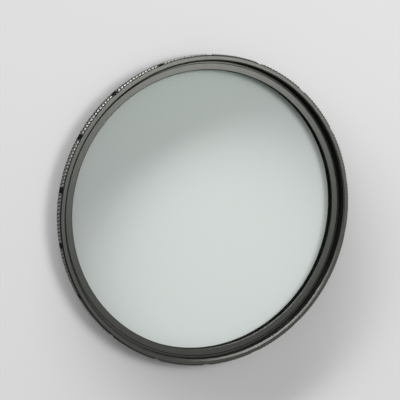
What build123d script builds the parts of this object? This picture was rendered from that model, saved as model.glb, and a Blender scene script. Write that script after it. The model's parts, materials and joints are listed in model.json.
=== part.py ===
from build123d import *
import math
import os

# A slim screw-in lens filter: a turned and knurled frame, a flat glass disc on a ledge inside it, and
# a flat ring that holds the glass down. It lies on the back end of its male thread, front face up.
# The Z axis is the optical axis, and the origin is the centre of the back face. Millimetres, degrees.

# Filter thread, the same size at the back (male) and in the front (female)
thread_diameter = 72.0
thread_pitch = 0.75
male_thread_length = 1.9
male_lead_chamfer = 0.35
male_relief_width = 0.4
relief_clearance = 0.05
mouth_clearance = 0.1

# Rim between the two threads
rim_height = 3.1
rim_wall = 0.95
edge_break = 0.12

# Grip pads round the rim, with a milled notch between neighbours
pad_count = 18
pad_front_setback = 0.25
pad_back_setback = 1.0
pad_root = 0.3
pad_flats = 5
notch_floor_width = 1.0
notch_mouth_width = 1.7

# Diamond knurl on the pads: sharp teeth between two sets of V grooves
knurl_teeth_per_pad = 15
knurl_helix = 18.0
knurl_groove_angle = 90.0
knurl_root_land = 0.05
blank_allowance = 0.05

# Glass disc, its pocket inside the male thread and the ledge that it lies on
pocket_wall = 1.2
glass_thickness = 1.3
glass_clearance = 0.1
ledge_thickness = 1.1
ledge_width = 1.1

# Retaining ring, in a plain seat below the front thread, with its inner edge a little inside the ledge's
ring_thickness = 0.5
ring_seat_step = 0.4
ring_lip = 0.2
ring_bevel = 0.18
ring_clearance = 0.05

# Heights that follow
shoulder_z = male_thread_length
front_z = shoulder_z + rim_height
glass_z = ledge_thickness
glass_top_z = glass_z + glass_thickness
ring_top_z = glass_top_z + ring_thickness

# Radii that follow, with the basic depths of a 60 degree metric thread
male_radius = thread_diameter / 2
male_thread_depth = 0.6134 * thread_pitch
female_thread_depth = 0.5413 * thread_pitch
male_relief_radius = male_radius - male_thread_depth - relief_clearance
female_radius = male_radius - female_thread_depth
mouth_radius = male_radius + mouth_clearance
collar_radius = male_radius + rim_wall
pocket_radius = male_radius - pocket_wall
glass_radius = pocket_radius - glass_clearance
back_bore_radius = pocket_radius - ledge_width
ring_seat_radius = female_radius - ring_seat_step
ring_radius = ring_seat_radius - ring_clearance
ring_bore_radius = back_bore_radius - ring_lip

# Grip pads that follow: the groove spacing and angle set how high the teeth stand
pad_pitch = 360 / pad_count
tooth_pitch = pad_pitch / knurl_teeth_per_pad
groove_radius = collar_radius + knurl_root_land
groove_slope = math.tan(math.radians(knurl_groove_angle / 2))
groove_spacing = math.radians(tooth_pitch) * groove_radius * math.cos(math.radians(knurl_helix))
knurl_height = groove_spacing / 2 / groove_slope
pad_height = knurl_root_land + knurl_height
tip_radius = collar_radius + pad_height
pad_root_radius = collar_radius - pad_root
flat_pitch = pad_pitch / pad_flats
pad_blank_radius = (tip_radius + blank_allowance) / math.cos(math.radians(flat_pitch / 2))
flat_length = math.radians(flat_pitch) * pad_blank_radius
pad_back_z = shoulder_z + pad_back_setback
pad_front_z = front_z - pad_front_setback


def turned(*points):
    """A solid of revolution about Z from (radius, height) points."""
    return revolve(make_face(Polyline(*[(r, 0, z) for r, z in points], close=True)), Axis.Z)


def frame_core():
    """The turned section: male thread, shoulder, rim, front mouth and bore, ring seat, glass pocket, ledge."""
    mouth_depth = mouth_radius - female_radius
    return turned(
        (back_bore_radius, 0),
        (male_radius - male_lead_chamfer, 0),
        (male_radius, male_lead_chamfer),
        (male_radius, shoulder_z - male_relief_width),
        (male_relief_radius, shoulder_z - male_relief_width),
        (male_relief_radius, shoulder_z),
        (collar_radius - edge_break, shoulder_z),
        (collar_radius, shoulder_z + edge_break),
        (collar_radius, front_z - edge_break),
        (collar_radius - edge_break, front_z),
        (mouth_radius, front_z),
        (female_radius, front_z - mouth_depth),
        (female_radius, ring_top_z),
        (ring_seat_radius, ring_top_z),
        (ring_seat_radius, glass_top_z),
        (pocket_radius, glass_top_z),
        (pocket_radius, glass_z),
        (back_bore_radius, glass_z),
    )


def notch():
    """The flared gap between two pads, as a bar along Z on the +X side, cut deeper than the pads' roots."""
    flare = (notch_mouth_width - notch_floor_width) / 2 / pad_height
    knee = (collar_radius - pad_root / 2, notch_floor_width / 2 - flare * pad_root / 2)
    mouth = (collar_radius + 2 * pad_height, notch_mouth_width / 2 + flare * pad_height)
    side = [(pad_root_radius - pad_root / 2, knee[1]), knee, mouth]
    other_side = [(radius, -half_width) for radius, half_width in reversed(side)]
    return extrude(make_face(Polyline(*side, *other_side, close=True)), front_z)


def knurl_groove(hand):
    """One straight V groove over a pad, from its back edge on the +X side, leaning to the left or right."""
    lean = math.radians(knurl_helix)
    run = Plane(
        origin=(groove_radius, 0, pad_back_z),
        x_dir=(1, 0, 0),
        z_dir=(0, hand * math.sin(lean), math.cos(lean)),
    )
    depth = 2 * pad_height
    half_width = depth * groove_slope
    section = make_face(Polyline((0, 0), (depth, half_width), (depth, -half_width), close=True))
    return extrude(run * section, rim_height, both=True)


def front_chamfer():
    """A bar along Y on the +X side that cuts the front of a pad down to the collar at 45 degrees."""
    inner = (collar_radius - pad_root, 0, pad_front_z + pad_root)
    outer = (collar_radius + 2 * pad_height, 0, pad_front_z - 2 * pad_height)
    section = make_face(Polyline(inner, outer, (outer[0], 0, inner[2]), close=True))
    return extrude(section, flat_length, dir=(0, 1, 0), both=True)


def pad_blank():
    """The uncut pad, one pad pitch long on the +X side: a bar of short flats round the rim, square at the
    back and chamfered at the front. The flats' corners fall on the flanks of teeth, not on their tips."""
    corners = [corner * flat_pitch - pad_pitch / 2 + tooth_pitch / 4 for corner in range(pad_flats + 1)]
    outer = [Vector(pad_blank_radius, 0, pad_back_z).rotate(Axis.Z, corner) for corner in corners]
    inner = [Vector(pad_root_radius, 0, pad_back_z).rotate(Axis.Z, corner) for corner in reversed(corners)]
    bar = extrude(make_face(Polyline(*outer, *inner, close=True)), pad_front_z - pad_back_z + pad_root / 2)
    chamfer = front_chamfer()
    return bar - [Rot(0, 0, corner + flat_pitch / 2) * chamfer for corner in corners[:-1]]


def grip_pad():
    """One knurled pad, centred on +X: the blank, cut by half a notch at each end and by two sets of grooves
    that cross at its back edge. The teeth stand in two rows, with the back row half a tooth on."""
    notches = [Rot(0, 0, side * pad_pitch / 2) * notch() for side in (-1, 1)]
    last = knurl_teeth_per_pad // 2 + 2
    grooves = []
    for hand in (-1, 1):
        groove = knurl_groove(hand)
        for tooth in range(-last, last + 1):
            grooves.append(Rot(0, 0, tooth * tooth_pitch) * groove)
    return pad_blank() - notches - grooves


def filter_frame():
    """The frame as one piece: the turned section with the knurled pads round its rim."""
    pad = grip_pad()
    return frame_core() + [Rot(0, 0, place * pad_pitch) * pad for place in range(pad_count)]


def filter_glass():
    """The glass disc, lying on the ledge."""
    return turned((0, glass_z), (glass_radius, glass_z), (glass_radius, glass_top_z), (0, glass_top_z))


def retaining_ring():
    """The flat ring on top of the glass, bevelled on the inner edge of its front face."""
    return turned(
        (ring_bore_radius, glass_top_z),
        (ring_radius, glass_top_z),
        (ring_radius, ring_top_z),
        (ring_bore_radius + ring_bevel, ring_top_z),
        (ring_bore_radius, ring_top_z - ring_bevel),
    )


os.makedirs("parts", exist_ok=True)
export_step(filter_frame(), "parts/filter_frame.step")
export_step(filter_glass(), "parts/filter_glass.step")
export_step(retaining_ring(), "parts/retaining_ring.step")
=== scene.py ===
import json
import math

import bmesh
import bpy
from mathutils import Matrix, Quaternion, Vector


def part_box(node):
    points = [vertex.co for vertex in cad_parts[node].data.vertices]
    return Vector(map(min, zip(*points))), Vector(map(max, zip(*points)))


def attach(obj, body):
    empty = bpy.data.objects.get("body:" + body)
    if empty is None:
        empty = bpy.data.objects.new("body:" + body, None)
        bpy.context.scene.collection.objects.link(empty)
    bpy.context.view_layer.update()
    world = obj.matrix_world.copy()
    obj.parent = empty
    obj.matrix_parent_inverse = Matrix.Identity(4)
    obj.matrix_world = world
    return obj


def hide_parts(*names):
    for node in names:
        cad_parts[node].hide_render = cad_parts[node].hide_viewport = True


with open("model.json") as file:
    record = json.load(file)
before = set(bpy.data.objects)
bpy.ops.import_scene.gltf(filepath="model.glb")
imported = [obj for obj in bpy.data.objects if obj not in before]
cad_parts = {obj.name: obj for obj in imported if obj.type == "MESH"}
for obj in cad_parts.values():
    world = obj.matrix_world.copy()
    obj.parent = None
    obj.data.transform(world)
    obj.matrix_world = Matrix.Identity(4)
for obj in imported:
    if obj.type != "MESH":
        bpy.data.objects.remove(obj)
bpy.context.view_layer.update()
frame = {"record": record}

# Frame: one ring of aluminium, turned and bored from bar, with a male filter thread cut on its back and a
# female one in its front. Its rim is knurled in diamonds and milled into eighteen grip pads, and the whole
# ring is anodised black. The faces that are turned last are smoother, and a lighter grey on them and on
# the mouth chamfer is a painted highlight.

mm = 0.001
thread_pitch = 0.75 * mm
thread_depth = 0.6134 * thread_pitch
lead_chamfer = 0.35 * mm
relief_width = 0.4 * mm
mouth_clearance = 0.1 * mm
rim_height = 3.1 * mm
rim_wall = 0.95 * mm
pocket_wall = 1.2 * mm
ledge_width = 1.1 * mm
ring_clearance = 0.05 * mm
edge_break = 0.1 * mm

front_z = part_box("filter_frame")[1].z
glass_low, glass_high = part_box("filter_glass")
ring_low, ring_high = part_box("retaining_ring")
threads = {mount["name"]: mount["dims"] for mount in frame["record"]["mounts"]}
male_radius = threads["male_thread"]["r_mm"] * mm
female_radius = threads["front_thread"]["r_mm"] * mm
male_root = male_radius - thread_depth
mouth_radius = male_radius + mouth_clearance
mouth_z = front_z - (mouth_radius - female_radius)
shoulder_z = front_z - rim_height
male_end_z = shoulder_z - relief_width
collar_radius = male_radius + rim_wall
pocket_radius = male_radius - pocket_wall
back_bore = pocket_radius - ledge_width
ring_seat = ring_high.x + ring_clearance


def line(start, end, step):
    """Points from start up to end, without it, about a step apart."""
    count = max(1, round((Vector(end) - Vector(start)).length / step))
    return [tuple(Vector(start).lerp(Vector(end), spot / count)) for spot in range(count)]


def soften(mesh, crisp_from=math.radians(30)):
    """Smooth shading, with edges that turn by more than an angle left crisp."""
    mesh.shade_smooth()
    mesh.set_sharp_from_angle(angle=crisp_from)


def turned(name, profile, segments=384):
    """A ring turned about Z from a closed profile of (radius, height) points, run anticlockwise."""
    turns = [2 * math.pi * step / segments for step in range(segments)]
    points = [
        (radius * math.cos(turn), radius * math.sin(turn), z) for turn in turns for radius, z in profile
    ]
    count = len(profile)
    faces = []
    for step in range(segments):
        here = step * count
        there = (step + 1) % segments * count
        for spot in range(count):
            following = (spot + 1) % count
            faces.append((here + spot, there + spot, there + following, here + following))
    mesh = bpy.data.meshes.new(name)
    mesh.from_pydata(points, [], faces)
    soften(mesh)
    ring = bpy.data.objects.new(name, mesh)
    bpy.context.scene.collection.objects.link(ring)
    return ring


points_per_pitch = 15
thread_step = thread_pitch / points_per_pitch
filter_frame = turned("frame", [
    (back_bore + edge_break, 0),
    *line((male_radius - lead_chamfer, 0), (male_radius, lead_chamfer), thread_step),
    *line((male_radius, lead_chamfer), (male_radius, male_end_z), thread_step),
    (male_radius, male_end_z),
    (male_root, male_end_z),
    (male_root, shoulder_z),
    (collar_radius - edge_break, shoulder_z),
    (collar_radius, shoulder_z + edge_break),
    (collar_radius, front_z - edge_break),
    (collar_radius - edge_break, front_z),
    *line((mouth_radius, front_z), (female_radius, mouth_z), thread_step),
    *line((female_radius, mouth_z), (female_radius, ring_high.z), thread_step),
    (female_radius, ring_high.z),
    (ring_seat, ring_high.z),
    (ring_seat, glass_high.z),
    (pocket_radius, glass_high.z),
    (pocket_radius, glass_low.z),
    (back_bore, glass_low.z),
    (back_bore, edge_break),
])


class Wire:
    """A node's output that takes part in arithmetic: each operator adds a Math node to the same tree."""

    def __init__(self, socket):
        self.socket = socket
        self.tree = socket.id_data

    @classmethod
    def node(cls, tree, kind, settings=None, inputs=None):
        """Adds any node to a tree, with its settings and the values or wires of its inputs, and returns the
        first output that it shows."""
        made = tree.nodes.new(kind)
        for name, value in (settings or {}).items():
            setattr(made, name, value)
        for name, value in (inputs or {}).items():
            if isinstance(value, cls):
                tree.links.new(value.socket, made.inputs[name])
            else:
                made.inputs[name].default_value = value
        return cls(next(output for output in made.outputs if output.enabled))

    def of(self, output):
        """Another output of the same node."""
        return Wire(self.socket.node.outputs[output])

    def to(self, node, name):
        """Joins the wire to a node's input."""
        self.tree.links.new(self.socket, node.inputs[name])

    def math(self, operation, *terms):
        """A Math node's result on the value and any further terms."""
        return Wire.node(
            self.tree, "ShaderNodeMath", {"operation": operation}, dict(enumerate((self, *terms)))
        )

    def axes(self):
        """The X, Y and Z of a vector."""
        split = Wire.node(self.tree, "ShaderNodeSeparateXYZ", inputs={"Vector": self})
        return [split.of(axis) for axis in "XYZ"]

    def within(self, lowest, highest):
        """The value, kept between two others."""
        return self.math("MAXIMUM", lowest).math("MINIMUM", highest)

    def between(self, lowest, highest):
        """1 where the value lies between two others, and 0 elsewhere."""
        return self.math("GREATER_THAN", lowest) * self.math("LESS_THAN", highest)

    def __add__(self, other):
        return self.math("ADD", other)

    def __mul__(self, other):
        return self.math("MULTIPLY", other)

    def __sub__(self, other):
        return self.math("SUBTRACT", other)

    def __truediv__(self, other):
        return self.math("DIVIDE", other)

    def __rsub__(self, other):
        return self * -1 + other

    def __rtruediv__(self, other):
        return self.math("POWER", -1) * other

    __radd__ = __add__
    __rmul__ = __mul__


def distance(x, y):
    """How far a point lies from the Z axis."""
    return (x * x + y * y).math("SQRT")


def blend(tree, share, first, second):
    """A colour that goes from the first to the second as the share goes from 0 to 1."""
    return Wire.node(
        tree, "ShaderNodeMix", {"data_type": "RGBA"}, {"Factor": share, "A": first, "B": second}
    ).of("Result")


def anodised(name, highlighted_faces, crests=None):
    """Black anodised aluminium with fine turning lines. Each listed face is (from height, to height, within
    radius, share); its share of a lighter grey is a painted highlight, and it is less rough. The crests,
    (from radius, to radius), get a lighter grey towards their tips, a painted glint."""
    black = (0.011, 0.0115, 0.011, 1)
    # Painted highlight: the lighter grey for the listed faces.
    painted_highlight_grey = (0.11, 0.113, 0.103, 1)
    # Painted glint: the lighter grey for the knurl's crests.
    painted_glint_grey = (0.216, 0.22, 0.21, 1)
    edge_sheen = (0.1, 0.1, 0.1, 1)
    metal_share = 0.85
    line_spacing = 0.08 * mm
    line_depth = 0.004 * mm
    line_strength = 0.15
    grains_per_metre = 900.0
    dullest_grain = 0.8
    grain_contrast = 0.4
    plain_roughness = 0.45
    line_roughness = 0.1
    satin_polish = 0.15

    material = bpy.data.materials.new(name)
    material.use_nodes = True
    tree = material.node_tree
    place = Wire.node(tree, "ShaderNodeTexCoord").of("Object")
    x, y, z = place.axes()
    radius = distance(x, y)
    lines = Wire.node(
        tree, "ShaderNodeTexNoise", {"noise_dimensions": "1D"},
        {"W": (radius + z) / line_spacing, "Scale": 1.0, "Detail": 2.0},
    )
    grain = Wire.node(
        tree, "ShaderNodeTexNoise", inputs={"Vector": place, "Scale": grains_per_metre, "Detail": 3.0}
    )
    # Painted highlight: each listed face takes its share of the lighter grey, and is less rough.
    highlight_share = 0.0
    for bottom, top, outermost, share in highlighted_faces:
        face = z.between(bottom, top) * radius.math("LESS_THAN", outermost)
        highlight_share = (face * share).math("MAXIMUM", highlight_share)
    tone = blend(tree, highlight_share * (grain * grain_contrast + dullest_grain), black, painted_highlight_grey)
    roughness = lines * line_roughness + plain_roughness - highlight_share * satin_polish
    # Painted glint: the grey lightens from the groove bottom out to the crests' tips.
    if crests:
        root, tip = crests
        crest_glint = ((radius - root) / (tip - root)).within(0, 1)
        tone = blend(tree, crest_glint, tone, painted_glint_grey)
    bump = Wire.node(tree, "ShaderNodeBump", inputs={
        "Strength": line_strength, "Distance": line_depth, "Height": lines + grain,
    })
    surface = tree.nodes["Principled BSDF"]
    tone.to(surface, "Base Color")
    roughness.to(surface, "Roughness")
    bump.to(surface, "Normal")
    surface.inputs["Metallic"].default_value = metal_share
    surface.inputs["Specular Tint"].default_value = edge_sheen
    return material


# The grip band stands proud of the rim's collar, and a lighter grey towards its knurled teeth's tips is a
# painted glint. A face gets its painted highlight within a thin skin of its height.
band_back_z = shoulder_z + 1.2 * mm
band_front_z = front_z - 0.25 * mm
band_root = collar_radius - 0.2 * mm
groove_radius = collar_radius + 0.05 * mm
band_radius = collar_radius + 0.32 * mm
chamfer_z = band_front_z - (band_radius - collar_radius)
# The crests' painted glint is full from this radius outwards.
glint_radius = groove_radius + 0.2 * mm
skin = 0.02 * mm
# The mouth chamfer takes this share of the painted highlight.
mouth_highlight = 0.7
frame_black = anodised(
    "anodised_frame",
    [
        (front_z - skin, front_z + skin, collar_radius, 1.0),
        (mouth_z, front_z, mouth_radius + skin, mouth_highlight),
        (ring_high.z - skin, ring_high.z + skin, male_radius, 1.0),
    ],
    crests=(groove_radius, glint_radius),
)


def geometry_tree(name, **inputs):
    """A new Geometry Nodes tree with a geometry, a material and the named inputs, and the input wires."""
    tree = bpy.data.node_groups.new(name, "GeometryNodeTree")
    tree.interface.new_socket("Geometry", in_out="OUTPUT", socket_type="NodeSocketGeometry")
    for label, kind in {"Geometry": "Geometry", "Material": "Material", **inputs}.items():
        tree.interface.new_socket(label, in_out="INPUT", socket_type="NodeSocket" + kind)
    given = tree.nodes.new("NodeGroupInput")
    return tree, {output.name: Wire(output) for output in given.outputs if output.name}


def end_tree(tree, made, material):
    """Ends a tree in Realize Instances and Set Material."""
    whole = Wire.node(tree, "GeometryNodeRealizeInstances", inputs={"Geometry": made})
    finished = Wire.node(tree, "GeometryNodeSetMaterial", inputs={"Geometry": whole, "Material": material})
    finished.to(tree.nodes.new("NodeGroupOutput"), "Geometry")


def keep_result(piece, modifier):
    """Makes what a modifier gives the piece's plain mesh, and removes the modifier."""
    evaluated = piece.evaluated_get(bpy.context.evaluated_depsgraph_get())
    mesh = bpy.data.meshes.new_from_object(evaluated)
    piece.modifiers.remove(modifier)
    piece.data = mesh


def run_tree(piece, tree, **values):
    """Runs a tree on a piece with its named inputs set."""
    modifier = piece.modifiers.new(tree.name, "NODES")
    modifier.node_group = tree
    for item in tree.interface.items_tree:
        if item.name in values:
            modifier[item.identifier] = values[item.name]
    keep_result(piece, modifier)


def vector(tree, x=0.0, y=0.0, z=0.0):
    """A vector of three wires or numbers."""
    return Wire.node(tree, "ShaderNodeCombineXYZ", inputs={"X": x, "Y": y, "Z": z})


# A thread moves each point of a plain wall to the flank of its V, where that is deeper than the wall. So it
# runs out in the chamfers, as a cut thread does. Side is -1 for a male thread and 1 for a female one.
flat_share = 1 / 6
tree, given = geometry_tree(
    "Screw thread",
    Side="Float", Pitch="Float", Crest="Float", Root="Float", Reach="Float", Bottom="Float", Top="Float",
)
x, y, z = Wire.node(tree, "GeometryNodeInputPosition").axes()
radius = distance(x, y)
turns = y.math("ARCTAN2", x) / (2 * math.pi)
flank = ((z / given["Pitch"] - turns).math("FRACT") * 2 - 1).math("ABSOLUTE")
depth_share = ((flank - flat_share) / (1 - 2 * flat_share)).within(0, 1)
cut_radius = given["Crest"] + depth_share * (given["Root"] - given["Crest"])
deeper = (cut_radius * given["Side"]).math("MAXIMUM", radius * given["Side"]) * given["Side"]
on_wall = (radius - given["Crest"]).math("ABSOLUTE").math("LESS_THAN", given["Reach"])
threaded = Wire.node(tree, "GeometryNodeSetPosition", inputs={
    "Geometry": given["Geometry"],
    "Selection": z.between(given["Bottom"], given["Top"]) * on_wall,
    "Position": vector(tree, x * deeper / radius, y * deeper / radius, z),
})
end_tree(tree, threaded, given["Material"])
wall_reach = 0.6 * mm
end_margin = edge_break / 2
run_tree(
    filter_frame, tree, Material=frame_black, Side=-1.0, Pitch=thread_pitch, Crest=male_radius,
    Root=male_root, Reach=wall_reach, Bottom=-end_margin, Top=male_end_z + end_margin,
)
run_tree(
    filter_frame, tree, Material=frame_black, Side=1.0, Pitch=thread_pitch, Crest=female_radius,
    Root=male_radius, Reach=wall_reach, Bottom=ring_high.z + end_margin, Top=front_z - end_margin,
)

# The band is square at the back and chamfered at the front. V grooves of both hands cross on it and leave
# the teeth, and flared notches part it into pads.
pad_count = 18
teeth_per_pad = 15
knurl_helix = math.radians(18)
groove_angle = math.radians(70)
notch_radius = collar_radius - 0.05 * mm
cutter_depth = band_radius - notch_radius
notch_floor = 1.0 * mm
notch_mouth = 1.7 * mm
grip = turned("grip", [
    (band_root, band_back_z),
    (band_radius, band_back_z),
    (band_radius, chamfer_z),
    (band_root, band_front_z + (collar_radius - band_root)),
])
tree, given = geometry_tree(
    "Knurled grip",
    Teeth="Int", Helix="Float", Groove_Radius="Float", Groove_Depth="Float", Groove_Angle="Float",
    Pads="Int", Notch_Radius="Float", Notch_Floor="Float", Notch_Mouth="Float", Back="Float",
    Height="Float",
)


def ring_of(cutter, count, start):
    """Copies of a cutter, evenly turned about Z, the first one turned by a share of a step."""
    tree = cutter.tree
    spots = Wire.node(tree, "GeometryNodeMeshLine", inputs={"Count": count, "Offset": (0, 0, 0)})
    turn = (Wire.node(tree, "GeometryNodeInputIndex") + start) * (2 * math.pi) / count
    copies = Wire.node(tree, "GeometryNodeInstanceOnPoints", inputs={
        "Points": spots, "Instance": cutter, "Rotation": vector(tree, z=turn),
    })
    return Wire.node(tree, "GeometryNodeRealizeInstances", inputs={"Geometry": copies})


def cut_from(band, cutters):
    """The band with all the cutters' room cut out of it."""
    return Wire.node(
        band.tree, "GeometryNodeMeshBoolean", {"operation": "DIFFERENCE", "solver": "MANIFOLD"},
        {"Mesh 1": band, "Mesh 2": cutters},
    )


# A groove's cutter is a three-sided bar with one edge inwards, 1.5 times as deep as the radius round its
# corners. It is stretched sideways from 60 degrees to the groove's angle. All cutters reach past the band.
cutter_length = given["Height"] * 3
at_back = vector(tree, z=given["Back"])
corner_radius = given["Groove_Depth"] / 1.5
stretch = (given["Groove_Angle"] / 2).math("TANGENT") * math.sqrt(3)
bar = Wire.node(tree, "GeometryNodeMeshCylinder", inputs={
    "Vertices": 3, "Side Segments": 1, "Radius": corner_radius, "Depth": cutter_length,
})
groove = Wire.node(tree, "GeometryNodeTransform", inputs={
    "Geometry": bar, "Translation": vector(tree, x=corner_radius + given["Groove_Radius"]),
    "Rotation": (0, 0, math.pi), "Scale": vector(tree, 1.0, stretch, 1.0),
})
knurled = given["Geometry"]
for hand in (-1, 1):
    leaning = Wire.node(tree, "GeometryNodeTransform", inputs={
        "Geometry": groove, "Translation": at_back, "Rotation": vector(tree, x=given["Helix"] * hand),
    })
    knurled = cut_from(knurled, ring_of(leaning, given["Teeth"], 0))

# A notch's cutter is a block, one metre wide until its own width is set. It has the floor's width at its
# inner end, and the mouth's width halfway out, at the band's surface.
notch_depth = given["Groove_Depth"] * 2
block = Wire.node(
    tree, "GeometryNodeMeshCube", inputs={"Size": vector(tree, notch_depth, 1.0, cutter_length)}
)
x, y, z = Wire.node(tree, "GeometryNodeInputPosition").axes()
flare = (x / notch_depth + 0.5) * 2
width = given["Notch_Floor"] + (given["Notch_Mouth"] - given["Notch_Floor"]) * flare
notch = Wire.node(tree, "GeometryNodeSetPosition", inputs={
    "Geometry": block,
    "Position": vector(tree, x + given["Notch_Radius"] + notch_depth / 2, y * width, z + given["Back"]),
})
end_tree(tree, cut_from(knurled, ring_of(notch, given["Pads"], 0.5)), given["Material"])
run_tree(
    grip, tree, Material=frame_black, Teeth=pad_count * teeth_per_pad, Helix=knurl_helix,
    Groove_Radius=groove_radius, Groove_Depth=cutter_depth, Groove_Angle=groove_angle, Pads=pad_count,
    Notch_Radius=notch_radius, Notch_Floor=notch_floor, Notch_Mouth=notch_mouth, Back=band_back_z,
    Height=band_front_z - band_back_z,
)

joining = filter_frame.modifiers.new("one piece with the grip", "BOOLEAN")
joining.operation = "UNION"
joining.solver = "MANIFOLD"
joining.object = grip
keep_result(filter_frame, joining)
bpy.data.objects.remove(grip)

# Where cuts cross they leave slivers, which are merged away.
sliver = 0.001 * mm
whole = bmesh.new()
whole.from_mesh(filter_frame.data)
bmesh.ops.remove_doubles(whole, verts=whole.verts, dist=sliver)
bmesh.ops.triangulate(whole, faces=whole.faces)
bmesh.ops.dissolve_degenerate(whole, edges=whole.edges, dist=sliver)
whole.to_mesh(filter_frame.data)
whole.free()
soften(filter_frame.data)
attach(filter_frame, "root")
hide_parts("filter_frame")


# Glass: a flat disc of clear optical glass, ground and polished, with both edges bevelled. It is coated
# against reflections, so that what little it reflects is green. It lies on the frame's ledge.

glass_segments = 192
glass_bevel = 0.15 * mm
body_tint = (0.97, 1.0, 0.985, 1)
coating_green = (0.015, 0.06, 0.035, 1)
light_passed = (0.96, 0.98, 0.97, 1)
glass_ior = 1.52

glass_mesh = bpy.data.meshes.new("glass")
disc = bmesh.new()
bmesh.ops.create_cone(
    disc, cap_ends=True, segments=glass_segments, radius1=glass_high.x, radius2=glass_high.x,
    depth=glass_high.z - glass_low.z,
)
rims = [edge for edge in disc.edges if abs(edge.verts[0].co.z - edge.verts[1].co.z) < glass_bevel]
bmesh.ops.bevel(disc, geom=rims, offset=glass_bevel, segments=1, affect="EDGES")
bmesh.ops.translate(disc, verts=disc.verts, vec=(0, 0, (glass_low.z + glass_high.z) / 2))
disc.to_mesh(glass_mesh)
disc.free()
filter_glass = bpy.data.objects.new("glass", glass_mesh)
bpy.context.scene.collection.objects.link(filter_glass)

# Light on its way to the floor passes straight through, so that the floor under the glass stays lit.
coated_glass = bpy.data.materials.new("coated_glass")
coated_glass.use_nodes = True
tree = coated_glass.node_tree
surface = tree.nodes["Principled BSDF"]
surface.inputs["Base Color"].default_value = body_tint
surface.inputs["Roughness"].default_value = 0.0
surface.inputs["IOR"].default_value = glass_ior
surface.inputs["Transmission Weight"].default_value = 1.0
surface.inputs["Specular Tint"].default_value = coating_green
passing = Wire.node(tree, "ShaderNodeBsdfTransparent", inputs={"Color": light_passed})
ray = Wire.node(tree, "ShaderNodeLightPath")
lighting = ray.of("Is Shadow Ray").math("MAXIMUM", ray.of("Is Diffuse Ray"))
clear = Wire.node(
    tree, "ShaderNodeMixShader", inputs={0: lighting, 1: Wire(surface.outputs["BSDF"]), 2: passing}
)
clear.to(tree.nodes["Material Output"], "Surface")
glass_mesh.materials.append(coated_glass)
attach(filter_glass, "root")
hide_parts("filter_glass")


# Retaining ring: a thin flat ring of aluminium, turned and anodised black, with its front face turned
# smoother and its inner edge bevelled. A lighter grey on the front face, fainter on the bevel, is a painted
# highlight. It is pressed into its seat below the front thread, over the edge of the glass, and holds the
# glass down.

ring_lip = 0.2 * mm
ring_bore = back_bore - ring_lip
ring_bevel = 0.18 * mm
# The bevel takes this share of the painted highlight.
bevel_highlight = 0.3
retaining_ring = turned("ring", [
    (ring_bore, ring_low.z),
    (ring_high.x, ring_low.z),
    (ring_high.x, ring_high.z - edge_break),
    (ring_high.x - edge_break, ring_high.z),
    (ring_bore + ring_bevel, ring_high.z),
    (ring_bore, ring_high.z - ring_bevel),
])
# The ring's front face, and faintly its bevel, take the painted highlight.
ring_black = anodised("anodised_ring", [
    (ring_high.z - skin, ring_high.z + skin, ring_high.x, 1.0),
    (ring_high.z - ring_bevel, ring_high.z, ring_high.x, bevel_highlight),
])
retaining_ring.data.materials.append(ring_black)
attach(retaining_ring, "root")
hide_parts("retaining_ring")


# Stage: a plain pale floor that the filter lies on, a soft light overhead, a long low light at one side
# that picks out the edges, and the camera, which looks down at the photograph's viewing angle.

floor_reach = 4.0
floor_grey = (0.8, 0.8, 0.8, 1)
floor_corners = [(x * floor_reach, y * floor_reach, 0) for x, y in ((-1, -1), (1, -1), (1, 1), (-1, 1))]
floor_mesh = bpy.data.meshes.new("floor")
floor_mesh.from_pydata(floor_corners, [], [range(len(floor_corners))])
floor = bpy.data.objects.new("floor", floor_mesh)
bpy.context.scene.collection.objects.link(floor)
pale_floor = bpy.data.materials.new("pale_floor")
pale_floor.use_nodes = True
surface = pale_floor.node_tree.nodes["Principled BSDF"]
surface.inputs["Base Color"].default_value = floor_grey
surface.inputs["Roughness"].default_value = 1.0
surface.inputs["Specular IOR Level"].default_value = 0.0
floor_mesh.materials.append(pale_floor)

sky_brightness = 0.22
world = bpy.data.worlds.new("studio")
world.use_nodes = True
sky = world.node_tree.nodes["Background"]
sky.inputs["Color"].default_value = (1, 1, 1, 1)
sky.inputs["Strength"].default_value = sky_brightness
bpy.context.scene.world = world


def softbox(name, place, width, height, brightness):
    """A rectangular light that faces the object and fades out to its edges. The brightness is that of its
    middle, where lit white paper is 1."""
    light = bpy.data.lights.new(name, "AREA")
    light.shape = "RECTANGLE"
    light.size = width
    light.size_y = height
    light.energy = brightness * math.pi * width * height
    light.use_nodes = True
    tree = light.node_tree
    across, along, _ = Wire.node(tree, "ShaderNodeNewGeometry").of("Parametric").axes()
    # Each of the two products is a quarter in the middle.
    fade = across * (1 - across) * 4 * (along * (1 - along) * 4)
    fade.to(tree.nodes["Emission"], "Color")
    lamp = bpy.data.objects.new(name, light)
    lamp.location = place
    lamp.rotation_mode = "QUATERNION"
    lamp.rotation_quaternion = (-Vector(place)).to_track_quat("-Z", "Y")
    bpy.context.scene.collection.objects.link(lamp)


softbox("overhead", place=(0.17, 0.1, 0.45), width=0.3, height=0.27, brightness=8.0)
softbox("side strip", place=(-0.66, 1.3, 0.33), width=3.9, height=0.24, brightness=42.0)

camera_target = Vector((-2.557, 3.0, 5.0)) * mm
camera_distance = 389.2 * mm
camera_heading = math.radians(-109.91)
camera_elevation = math.radians(65.615)
camera_roll = math.radians(-109.12)
backward = Vector((
    math.sin(camera_heading) * math.cos(camera_elevation),
    -math.cos(camera_heading) * math.cos(camera_elevation),
    math.sin(camera_elevation),
))
camera_data = bpy.data.cameras.new("camera")
camera_data.sensor_width = 36.0
camera_data.lens = 148.5
camera_data.clip_start = 0.01
camera = bpy.data.objects.new("camera", camera_data)
camera.location = camera_target + backward * camera_distance
camera.rotation_mode = "QUATERNION"
camera.rotation_quaternion = Quaternion(backward, -camera_roll) @ (-backward).to_track_quat("-Z", "Y")
bpy.context.scene.collection.objects.link(camera)
bpy.context.scene.camera = camera
bpy.context.scene.view_settings.view_transform = "Standard"
